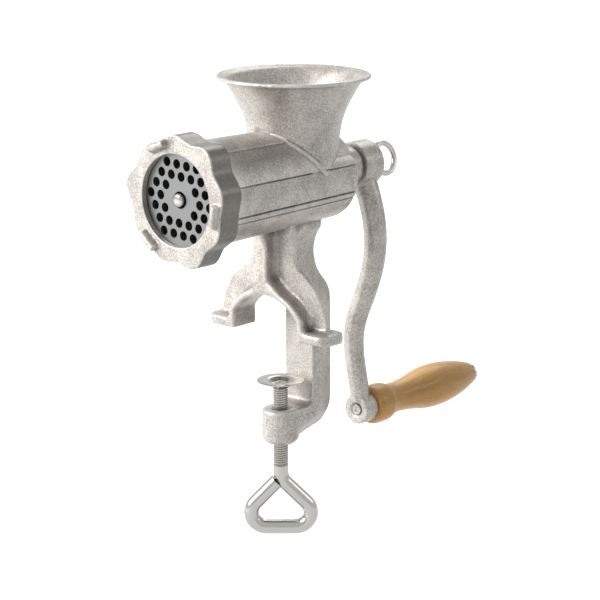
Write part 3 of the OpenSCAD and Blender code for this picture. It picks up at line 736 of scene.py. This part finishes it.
class GRINDER_OT_handle(bpy.types.Operator):
    """Turn the beech grip and the rivet that holds it"""
    bl_idname = "grinder.handle"
    bl_label = "Handle"

    def execute(self, context):
        colours = context.scene.grinder_colours
        sizes = context.scene.grinder_sizes
        start = edge("handle_grip", LOW, Y)
        reach = edge("handle_grip", HIGH, Y) - start
        radius = edge("handle_grip", HIGH, X)
        shares = smooth_line([
            (0, 0.79), (0.008, 0.84), (0.03, 0.885), (0.07, 0.9), (0.115, 0.89), (0.145, 0.84), (0.16, 0.78),
            (0.2, 0.725), (0.26, 0.7), (0.38, 0.78), (0.53, 0.97), (0.68, 0.99), (0.83, 0.84), (0.94, 0.64),
            (0.98, 0.54), (1, 0.42)], 5)
        grip = turned("beech_grip", [(t * reach, share * radius) for t, share in shares], sizes.sides)
        stand_along_y(grip, start, z=PIN_Z)
        smooth_faces(grip, 40)
        dress(grip, varnished_beech("varnished beech", colours), "grip", "handle_grip")

        head = edge("handle_rivet", LOW, Y)
        end = edge("handle_rivet", HIGH, Y)
        rim = 0.93
        dome = [(end - 3 * MM * (1 - math.cos(a)) / (1 - math.cos(rim)), 8.9 * MM * math.sin(a))
                for a in (rim, 0.75, 0.55, 0.35, 0.15)]
        rivet = turned("grip_rivet", [
            (head + 1.5 * MM, 1.1 * MM), (head + 0.8 * MM, 1.8 * MM), (head + 0.7 * MM, 3 * MM),
            (head + 1.1 * MM, 3.5 * MM), (end - 4.3 * MM, 3.5 * MM), (end - 4.3 * MM, 7 * MM),
            (end - 3.3 * MM, 7.2 * MM), *dome], sizes.sides)
        stand_along_y(rivet, 0, z=PIN_Z)
        smooth_faces(rivet, 40)
        dress(rivet, zinc_plate("plated rivet", colours), "rotor", "handle_rivet")
        return {"FINISHED"}


def screw_thread(low, high, rod, pitch):
    """A screw thread round Z: a zigzag line of teeth, screwed round by its own pitch."""
    teeth = int((high - low) / pitch) - 1
    root = rod - 0.6 * pitch
    zigzag = []
    for i in range(teeth):
        z = low + i * pitch
        zigzag += [(reach, 0, z + share * pitch)
                   for reach, share in ((root, 0), (root, 0.12), (rod, 0.5), (rod, 0.62))]
    line = rod_along("thread", zigzag + [(root, 0, low + teeth * pitch)], 0)
    turn = line.modifiers.new("Turns", "SCREW")
    turn.angle = 2 * math.pi
    turn.screw_offset = pitch
    turn.steps = turn.render_steps = 48
    turn.use_merge_vertices = True
    turn.merge_threshold = 0.01 * MM
    apply_modifiers(line)
    core = turned("core", [
        (low - 1 * MM, root), (low + 0.2 * MM, root + 0.1 * MM), (high - 0.5 * MM, root + 0.1 * MM),
        (high, root - 0.5 * MM)], 48)
    tidy_mesh(line)
    return join([line, core], "thread")


class GRINDER_OT_clamp(bpy.types.Operator):
    """Thread the clamp screw, bend its loop and press its pad"""
    bl_idname = "grinder.clamp"
    bl_label = "Clamp"

    def execute(self, context):
        sizes = context.scene.grinder_sizes
        plate = zinc_plate("zinc-plated steel", context.scene.grinder_colours)
        rim = edge("clamp_pad", HIGH, Z)
        under = rim - 4.4 * MM
        top = under - 0.15 * MM
        low = edge("clamp_pad", LOW, Z) - 54.15 * MM
        thread = screw_thread(low, top, sizes.rod, sizes.pitch)
        tip = turned("peened_tip", [
            (top - 1 * MM, 3 * MM), (under + 1.6 * MM, 3 * MM), (under + 1.6 * MM, 4.3 * MM),
            (under + 2.3 * MM, 4.2 * MM), (under + 2.9 * MM, 3.4 * MM), (under + 2.9 * MM, 1.7 * MM),
            (under + 2.2 * MM, 1.1 * MM)], sizes.sides)
        bend = arc((13, -1), 13, 180, 224, 10)
        corner = arc((9.5, -29.5), 9.8, 44, -90, 24)
        path = [(0, 3), (0, 1)] + bend + corner + [(-x, z) for x, z in reversed(corner)] + [(-2.6, -8.24)]
        way = math.radians(42)
        loop = rod_along("loop", [
            (x * MM * math.cos(way), x * MM * math.sin(way), low + z * MM) for x, z in path], sizes.rod, sides=32)
        screw = join([thread, tip, loop], "looped_screw")
        screw.location = (0, SCREW_Y, 0)
        settle(screw)
        smooth_faces(screw, 50)
        dress(screw, plate, "screw", "clamp_screw")

        wide = edge("clamp_pad", HIGH, X)
        dish = 0.56 * wide
        pad = turned("dished_pad", [
            (under, 3.1 * MM), (under, dish - 2 * MM), (under + 0.8 * MM, dish - 0.9 * MM),
            (under + 2 * MM, dish - 0.1 * MM), (rim - 1.7 * MM, dish + 0.8 * MM),
            (rim - 1.3 * MM, dish + 2.4 * MM), (rim - 1 * MM, wide - 1 * MM), (rim - 0.8 * MM, wide - 0.1 * MM),
            (rim - 0.2 * MM, wide), (rim, wide - 0.4 * MM), (rim, dish + 0.9 * MM), (rim - 0.3 * MM, dish),
            (rim - 1.1 * MM, dish - 1.2 * MM), (under + 1.8 * MM, dish - 2.4 * MM),
            (under + 1.5 * MM, dish - 3.2 * MM), (under + 1.5 * MM, 3.1 * MM), (under, 3.1 * MM)],
            sizes.sides, ends="NOTHING")
        pad.location = (0, SCREW_Y, 0)
        settle(pad)
        smooth_faces(pad, 40)
        dress(pad, plate, "pad", "clamp_pad")
        return {"FINISHED"}


class GRINDER_OT_stage(bpy.types.Operator):
    """Set the pale floor, the soft light and the camera"""
    bl_idname = "grinder.stage"
    bl_label = "Stage"

    def execute(self, context):
        add_world(context.scene)
        add_floor(context.scene)
        add_lamps()
        add_camera(context.scene)
        context.scene.view_settings.view_transform = "Standard"
        return {"FINISHED"}


def seen_white(tree):
    """1 where the camera, gloss or glass sees the backdrop, and 0 where it only gives light."""
    path = node(tree, "ShaderNodeLightPath").outputs
    seen = path["Is Camera Ray"]
    for ray in ("Is Glossy Ray", "Is Transmission Ray"):
        seen = node(tree, "ShaderNodeMath", {0: seen, 1: path[ray]}, operation="MAXIMUM").outputs[0]
    return seen


def add_world(scene):
    """White where the camera, gloss or glass sees it, and a plain grey light elsewhere."""
    world = bpy.data.worlds.new("soft studio")
    world.use_nodes = True
    tree = world.node_tree
    tree.nodes.clear()
    light, shown = (node(tree, "ShaderNodeBackground", {"Color": (1, 1, 1, 1), "Strength": strength})
                    for strength in (0.09, 1.0))
    mixed = node(tree, "ShaderNodeMixShader", {0: seen_white(tree), 1: light.outputs[0], 2: shown.outputs[0]})
    node(tree, "ShaderNodeOutputWorld", {"Surface": mixed.outputs[0]})
    scene.world = world


def add_floor(scene):
    """A pale floor well under the clamp, which takes the soft shadow."""
    bpy.ops.object.select_all(action="DESELECT")
    bpy.ops.mesh.primitive_plane_add(size=8, location=(0, 0, CAD_BOX[LOW][Z] - 0.12))
    floor = bpy.context.object
    floor.name = floor.data.name = "studio_floor"
    settle(floor)
    material, tree, shader, place = new_material("matt studio floor")
    away = node(tree, "ShaderNodeVectorMath", {0: place}, operation="LENGTH")
    level = spread(tree, away.outputs["Value"], 0.3, 1.6, 0.8, 1.0)
    glow = node(tree, "ShaderNodeMath", {0: seen_white(tree), 1: level}, operation="MULTIPLY")
    shader.inputs["Base Color"].default_value = rgba(scene.grinder_colours.floor)
    shader.inputs["Roughness"].default_value = 0.9
    shader.inputs["Emission Color"].default_value = (1, 1, 1, 1)
    tree.links.new(glow.outputs[0], shader.inputs["Emission Strength"])
    floor.data.materials.append(material)


def add_lamps():
    """A large key light at the front left, and two weaker ones behind.

    Each row gives a lamp's name, its turn from the outlet's side and its rise in degrees, its distance,
    width and height in metres, and its power in watts.
    """
    target = Vector((0, 0, 0.05))
    for name, turn, rise, away, wide, high, power in (
            ("key", -34, 26, 2.5, 1.4, 1.4, 80), ("fill", 128, 22, 2.2, 1.0, 0.5, 4),
            ("back", 206, 42, 2.2, 1.0, 1.0, 9)):
        turn, rise = math.radians(turn), math.radians(rise)
        side = Vector((math.sin(turn) * math.cos(rise), -math.cos(turn) * math.cos(rise), math.sin(rise)))
        bpy.ops.object.light_add(type="AREA", location=target + away * side)
        lamp = bpy.context.object
        lamp.name = name
        lamp.data.shape = "RECTANGLE"
        lamp.data.size = wide
        lamp.data.size_y = high
        lamp.data.energy = power
        lamp.rotation_euler = side.to_track_quat("Z", "Y").to_euler()


def add_camera(scene):
    """The photograph's point of view."""
    turn, rise, roll = (math.radians(a) for a in (42.11, 13.72, -0.24))
    bpy.ops.object.camera_add()
    camera = bpy.context.object
    camera.name = "photo_camera"
    aim = Matrix.Rotation(turn, 4, "Z")
    aim = aim @ Matrix.Rotation(math.pi / 2 - rise, 4, "X") @ Matrix.Rotation(roll, 4, "Z")
    camera.matrix_world = Matrix.Translation(Vector((0.9277, -1.0252, 0.3545))) @ aim
    camera.data.sensor_width = 36
    camera.data.lens = 132.93
    camera.data.clip_end = 50
    scene.camera = camera


OPERATORS = (
    GRINDER_OT_body_casting, GRINDER_OT_ring_nut, GRINDER_OT_cutting_set, GRINDER_OT_auger,
    GRINDER_OT_crank, GRINDER_OT_eye_screw, GRINDER_OT_handle, GRINDER_OT_clamp, GRINDER_OT_stage)


class GRINDER_PT_panel(bpy.types.Panel):
    """Lists the grinder's pieces"""
    bl_label = "Meat grinder"
    bl_idname = "GRINDER_PT_panel"
    bl_space_type = "VIEW_3D"
    bl_region_type = "UI"
    bl_category = "Grinder"

    def draw(self, context):
        layout = self.layout
        for operator in OPERATORS:
            layout.operator(operator.bl_idname)
        for group in (context.scene.grinder_sizes, context.scene.grinder_colours):
            for name in group.bl_rna.properties.keys():
                if name not in ("rna_type", "name"):
                    layout.prop(group, name)


CLASSES = (GrinderSizes, GrinderColours, *OPERATORS, GRINDER_PT_panel)


def register():
    for item in CLASSES:
        bpy.utils.register_class(item)
    bpy.types.Scene.grinder_sizes = PointerProperty(type=GrinderSizes)
    bpy.types.Scene.grinder_colours = PointerProperty(type=GrinderColours)


def unregister():
    del bpy.types.Scene.grinder_colours
    del bpy.types.Scene.grinder_sizes
    for item in reversed(CLASSES):
        bpy.utils.unregister_class(item)


def main():
    """Makes every piece in order."""
    register()
    bpy.ops.grinder.body_casting()
    bpy.ops.grinder.ring_nut()
    bpy.ops.grinder.cutting_set()
    bpy.ops.grinder.auger()
    bpy.ops.grinder.crank()
    bpy.ops.grinder.eye_screw()
    bpy.ops.grinder.handle()
    bpy.ops.grinder.clamp()
    bpy.ops.grinder.stage()


if __name__ == "__main__":
    main()
